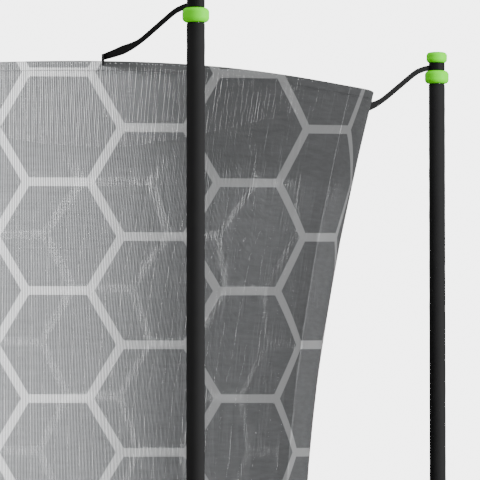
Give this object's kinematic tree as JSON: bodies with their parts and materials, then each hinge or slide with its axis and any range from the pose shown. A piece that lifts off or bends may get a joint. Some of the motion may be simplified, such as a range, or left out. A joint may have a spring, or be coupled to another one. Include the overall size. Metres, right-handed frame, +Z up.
{
  "type": "enclosed garden trampoline",
  "caption": "Round garden trampoline with curved foam-padded poles, an inner safety net with hexagon pattern, a zipped entrance, sprung mat and ring pad.",
  "frame": {"origin": "floor level under the middle of the mat", "axes": "+Z up, the zipped entrance faces -Y, poles stand at 45 degrees to the X and Y axes"},
  "size_m": [2.456, 2.456, 2.527],
  "materials": {
    "frame_steel": "satin",
    "pole_steel": "satin",
    "foam_sleeve": "matte",
    "green_plastic": "gloss",
    "black_plastic": "matte",
    "black_rubber": "matte",
    "zinc_steel": "satin",
    "spring_steel": "satin",
    "black_webbing": "matte",
    "glass_fibre": "satin",
    "hem_fabric": "matte",
    "net_fabric": "matte",
    "mat_fabric": "matte",
    "pad_cover": "satin"
  },
  "bodies": {
    "frame": {"rail_1": "frame_steel", "rail_2": "frame_steel", "rail_3": "frame_steel", "rail_4": "frame_steel", "rail_5": "frame_steel", "rail_6": "frame_steel", "rail_7": "frame_steel", "rail_8": "frame_steel", "leg_base_1": "frame_steel", "leg_base_2": "frame_steel", "leg_base_3": "frame_steel", "leg_base_4": "frame_steel", "leg_upright_1": "frame_steel", "leg_upright_2": "frame_steel", "leg_upright_3": "frame_steel", "leg_upright_4": "frame_steel", "leg_upright_5": "frame_steel", "leg_upright_6": "frame_steel", "leg_upright_7": "frame_steel", "leg_upright_8": "frame_steel", "leg_feet": "black_rubber", "pole_lower_1": "pole_steel", "pole_lower_2": "pole_steel", "pole_lower_3": "pole_steel", "pole_lower_4": "pole_steel", "pole_upper_1": "pole_steel", "pole_upper_2": "pole_steel", "pole_upper_3": "pole_steel", "pole_upper_4": "pole_steel", "foam_1": "foam_sleeve", "foam_2": "foam_sleeve", "foam_3": "foam_sleeve", "foam_4": "foam_sleeve", "pole_cap_1": "green_plastic", "pole_cap_2": "green_plastic", "pole_cap_3": "green_plastic", "pole_cap_4": "green_plastic", "pole_end_caps": "black_plastic", "clamp_spacers": "black_plastic", "clamp_bolts": "zinc_steel", "clamp_nuts": "zinc_steel", "hem_straps": "black_webbing", "hoop_rods": "glass_fibre", "hoop_ferrules": "zinc_steel", "net_hem": "hem_fabric", "net_panel_1": "net_fabric", "net_panel_2": "net_fabric", "net_panel_3": "net_fabric", "net_panel_4": "net_fabric", "zip_tapes": "black_webbing", "springs": "spring_steel", "pad": "pad_cover", "pad_skirt": "pad_cover", "pad_ties": "black_webbing"},
    "mat": {"mat": "mat_fabric", "mat_webbing": "black_webbing", "net_foot_band": "black_webbing", "v_rings": "zinc_steel"},
    "zip_slider": {"zip_slider": "zinc_steel"},
    "zip_pull": {"zip_pull": "green_plastic"}
  },
  "joints": [
    {"name": "mat_bounce", "type": "slide", "parent": "frame", "child": "mat", "axis": [0, 0, 1], "range_m": [-0.25, 0], "stiffness_N_per_m": 6500, "springref_m": 0.008, "deforming": ["springs"]},
    {"name": "zip_slide", "type": "slide", "parent": "frame", "child": "zip_slider", "axis": [0, -0.0932, 0.9956], "range_m": [0, 1]},
    {"name": "zip_pull_swing", "type": "hinge", "parent": "zip_slider", "child": "zip_pull", "pos_m": [0, -0.93137, 0.68639], "axis": [1, 0, 0], "range_deg": [-150, 4]}
  ]
}
